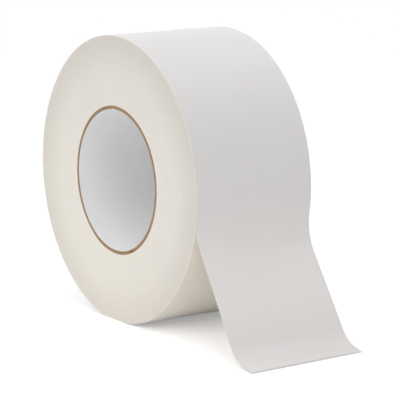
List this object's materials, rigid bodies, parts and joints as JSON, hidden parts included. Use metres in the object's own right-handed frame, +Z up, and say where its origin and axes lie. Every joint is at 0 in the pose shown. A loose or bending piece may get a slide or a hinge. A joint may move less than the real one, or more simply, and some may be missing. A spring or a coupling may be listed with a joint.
{
  "type": "roll of pipe wrap tape",
  "caption": "Wide white wrap tape wound on a spiral paper core, standing on its rim, with the free end peeled off and resting on the surface beside it.",
  "frame": {"origin": "middle of the standing flat, under the roll's axis at half the tape's width", "axes": "+Z up, roll axis along Y, free end towards +X, so the pictured side faces -Y"},
  "size_m": [0.2086, 0.0758, 0.1542],
  "materials": {
    "liner_paper": "smooth white paper",
    "kraft_paper": "cut edge of brown kraft board",
    "tape_side": "slit edges of the turns, cream with the adhesive showing",
    "tape_adhesive": "tacky cream rubber adhesive",
    "tape_film": "satin white film"
  },
  "bodies": {
    "roll": {"core_liner": "liner_paper", "core_kraft_inner": "kraft_paper", "core_kraft_middle": "kraft_paper", "core_kraft_outer": "kraft_paper", "tape_pack": "tape_side", "outer_turn_adhesive": "tape_adhesive", "outer_turn_film": "tape_film"},
    "tail": {"tail_adhesive": "tape_adhesive", "tail_film": "tape_film"}
  },
  "joints": [
    {"name": "tail_lift", "type": "hinge", "parent": "roll", "child": "tail", "pos_m": [0.07716, 0, 0.0694], "axis": [0, -1, 0], "range_deg": [0, 75]}
  ]
}
